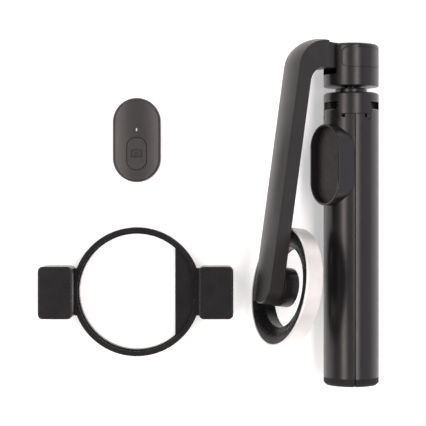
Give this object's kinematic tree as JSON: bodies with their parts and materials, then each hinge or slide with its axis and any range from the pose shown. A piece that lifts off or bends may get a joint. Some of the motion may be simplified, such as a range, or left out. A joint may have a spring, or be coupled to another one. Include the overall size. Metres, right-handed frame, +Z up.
{
  "type": "selfie stick tripod with magnetic phone ring",
  "caption": "Folding selfie stick whose split handle opens into tripod legs, with a telescopic pole, a flip-up arm, a magnetic phone ring, a clip-on remote and a slip-on phone clamp.",
  "frame": {"origin": "centre of the bounding box's bottom face, on the plane that the three items lie on", "axes": "+Z up from that plane, the shortest extent; +Y along the pole from the feet to the head, the longest extent; +X from the clamp and the remote towards the stick"},
  "size_m": [0.1766, 0.1784, 0.0594],
  "materials": {
    "handle_plastic": "satin black moulded plastic",
    "head_plastic": "satin black moulded plastic",
    "arm_plastic": "satin black moulded plastic",
    "gloss_black": "smoother black moulding",
    "rim_aluminium": "bead-blasted, clear anodised",
    "black_rubber": "matt rubber",
    "pad_silicone": "soft matt silicone",
    "steel": "bright steel",
    "dark_steel": "black oxide on steel",
    "pole_steel": "polished stainless tube",
    "bush_plastic": "natural acetal",
    "magnet_nickel": "nickel-plated magnet",
    "board_green": "coated circuit board",
    "clip_brass": "sprung contact strip",
    "remote_plastic": "satin black moulded plastic",
    "button_plastic": "finely textured black",
    "light_white": "clear white light pipe",
    "clamp_plastic": "satin black moulded plastic"
  },
  "bodies": {
    "handle": {"tripod_collar": "handle_plastic", "leg_hinge_pins": "dark_steel", "pole_tube_1": "pole_steel", "pole_end_plug": "bush_plastic"},
    "leg_front_left": {"leg_shell_front_left": "handle_plastic", "leg_foot_front_left": "black_rubber", "remote_cradle": "handle_plastic", "cradle_screws": "dark_steel", "cradle_liner": "pad_silicone"},
    "leg_front_right": {"leg_shell_front_right": "handle_plastic", "leg_foot_front_right": "black_rubber"},
    "leg_back": {"leg_shell_back": "handle_plastic", "leg_foot_back": "black_rubber"},
    "pole_section_2": {"pole_tube_2": "pole_steel", "slide_bush_2": "bush_plastic"},
    "pole_section_3": {"pole_tube_3": "pole_steel", "slide_bush_3": "bush_plastic"},
    "pole_section_4": {"pole_tube_4": "pole_steel", "slide_bush_4": "bush_plastic"},
    "pole_section_5": {"pole_tube_5": "pole_steel", "slide_bush_5": "bush_plastic", "pole_cap": "head_plastic", "pan_axle": "steel", "pan_friction_washer": "gloss_black", "pan_nut": "steel"},
    "head": {"head_shell": "head_plastic", "hinge_cover_front": "head_plastic", "hinge_cover_back": "head_plastic", "tilt_bolt": "steel", "tilt_nut": "steel", "tilt_friction_washers": "bush_plastic"},
    "arm": {"arm_frame": "arm_plastic", "arm_cover": "arm_plastic", "arm_cover_screws": "dark_steel", "swivel_pin": "steel", "swivel_nut": "steel"},
    "phone_ring": {"swivel_hub": "gloss_black", "hub_cap": "gloss_black", "ring_back_cover": "gloss_black", "ring_rim": "rim_aluminium", "ring_yoke": "steel", "ring_magnets": "magnet_nickel", "ring_pad": "pad_silicone"},
    "remote": {"remote_top_shell": "remote_plastic", "remote_bottom_shell": "remote_plastic", "remote_circuit_board": "board_green", "remote_coin_cell": "steel", "remote_battery_clips": "clip_brass", "remote_switch": "button_plastic", "remote_light_pipe": "light_white"},
    "shutter_button": {"shutter_button": "button_plastic"},
    "clamp": {"clamp_ring": "clamp_plastic", "clamp_stop": "clamp_plastic", "clamp_jaw_right": "clamp_plastic", "jaw_pad_right": "pad_silicone", "jaw_springs": "steel"},
    "clamp_jaw_left": {"clamp_jaw_left": "clamp_plastic", "jaw_pad_left": "pad_silicone"}
  },
  "joints": [
    {"name": "leg_front_left_hinge", "type": "hinge", "parent": "handle", "child": "leg_front_left", "pos_m": [0.06461, 0.0496, 0.0204], "axis": [-0.5446, 0, -0.8387], "range_deg": [0, 55]},
    {"name": "leg_front_right_hinge", "type": "hinge", "parent": "handle", "child": "leg_front_right", "pos_m": [0.08398, 0.0496, 0.01938], "axis": [-0.454, 0, 0.891], "range_deg": [0, 55]},
    {"name": "leg_back_hinge", "type": "hinge", "parent": "handle", "child": "leg_back", "pos_m": [0.07341, 0.0496, 0.00312], "axis": [0.9986, 0, -0.0523], "range_deg": [0, 55]},
    {"name": "pole_slide_2", "type": "slide", "parent": "handle", "child": "pole_section_2", "axis": [0, 1, 0], "range_m": [0, 0.105]},
    {"name": "pole_slide_3", "type": "slide", "parent": "pole_section_2", "child": "pole_section_3", "axis": [0, 1, 0], "range_m": [0, 0.105]},
    {"name": "pole_slide_4", "type": "slide", "parent": "pole_section_3", "child": "pole_section_4", "axis": [0, 1, 0], "range_m": [0, 0.105]},
    {"name": "pole_slide_5", "type": "slide", "parent": "pole_section_4", "child": "pole_section_5", "axis": [0, 1, 0], "range_m": [0, 0.105]},
    {"name": "head_pan", "type": "hinge", "parent": "pole_section_5", "child": "head", "pos_m": [0.074, 0.0652, 0.0143], "axis": [0, 1, 0], "continuous": true},
    {"name": "arm_tilt", "type": "hinge", "parent": "head", "child": "arm", "pos_m": [0.074, 0.0796, 0.0143], "axis": [-0.4067, 0, -0.9135], "range_deg": [0, 180]},
    {"name": "ring_swivel", "type": "hinge", "parent": "arm", "child": "phone_ring", "pos_m": [0.03417, -0.0372, 0.03203], "axis": [-0.9037, 0.1461, 0.4024], "continuous": true},
    {"name": "remote_lift", "type": "slide", "parent": "handle", "child": "remote", "axis": [0, 0, 1], "range_m": [0, 0.06]},
    {"name": "shutter_press", "type": "slide", "parent": "remote", "child": "shutter_button", "axis": [0, 0, -1], "range_m": [0, 0.0005], "stiffness_N_per_m": 1500, "springref_m": -0.0004},
    {"name": "clamp_aside", "type": "slide", "parent": "handle", "child": "clamp", "axis": [-1, 0, 0], "range_m": [0, 0.24]},
    {"name": "jaw_slide", "type": "slide", "parent": "clamp", "child": "clamp_jaw_left", "axis": [-1, 0, 0], "range_m": [0, 0.012], "stiffness_N_per_m": 400, "springref_m": -0.012}
  ],
  "couplings": [
    {"joint": "leg_front_left_hinge", "follows": "arm_tilt", "ratio": 0.3055},
    {"joint": "clamp_aside", "follows": "arm_tilt", "m_per_rad": 0.0763}
  ]
}
